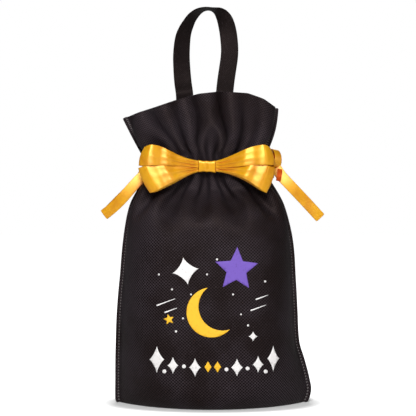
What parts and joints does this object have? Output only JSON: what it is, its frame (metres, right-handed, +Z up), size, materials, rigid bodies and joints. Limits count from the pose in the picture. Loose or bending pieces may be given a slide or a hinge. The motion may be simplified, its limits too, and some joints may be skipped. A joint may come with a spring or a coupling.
{
  "type": "drawstring gift bag",
  "caption": "Free-standing non-woven cloth treat bag with a ribbon drawstring neck, frilled mouth, satin bow and strap handle.",
  "frame": {"origin": "middle of the base, on the surface that the bag stands on", "axes": "+Z up, the printed front faces -Y, +X is to the right of someone who looks at the front"},
  "size_m": [0.222, 0.088, 0.4005],
  "materials": {
    "black_cloth": "embossed non-woven, matt with a faint sheen",
    "gold_satin": "satin ribbon",
    "print_yellow": "matt screen print",
    "print_purple": "matt screen print",
    "print_white": "matt screen print",
    "clear_glue": "set hot glue"
  },
  "bodies": {
    "bag": {"front_panel": "black_cloth", "back_panel": "black_cloth", "bottom_gusset": "black_cloth", "front_channel_strip": "black_cloth", "back_channel_strip": "black_cloth", "handle_strap_ends": "black_cloth", "bow_upper_loops": "gold_satin", "bow_lower_loops": "gold_satin", "bow_center_wrap": "gold_satin", "bow_tack": "clear_glue"},
    "left_pull": {"left_drawstring": "gold_satin", "left_knot": "gold_satin", "left_front_tail": "gold_satin", "left_rear_tail": "gold_satin"},
    "right_pull": {"right_drawstring": "gold_satin", "right_knot": "gold_satin", "right_front_tail": "gold_satin", "right_rear_tail": "gold_satin"},
    "handle": {"handle_loop": "black_cloth"}
  },
  "joints": [
    {"name": "left_drawstring_pull", "type": "slide", "parent": "bag", "child": "left_pull", "axis": [-1, 0, 0], "range_m": [0, 0.012]},
    {"name": "right_drawstring_pull", "type": "slide", "parent": "bag", "child": "right_pull", "axis": [1, 0, 0], "range_m": [0, 0.012]},
    {"name": "handle_swing", "type": "hinge", "parent": "bag", "child": "handle", "pos_m": [-0.0085, 0.02846, 0.311], "axis": [1, 0, 0], "range_deg": [-90, 75]}
  ]
}
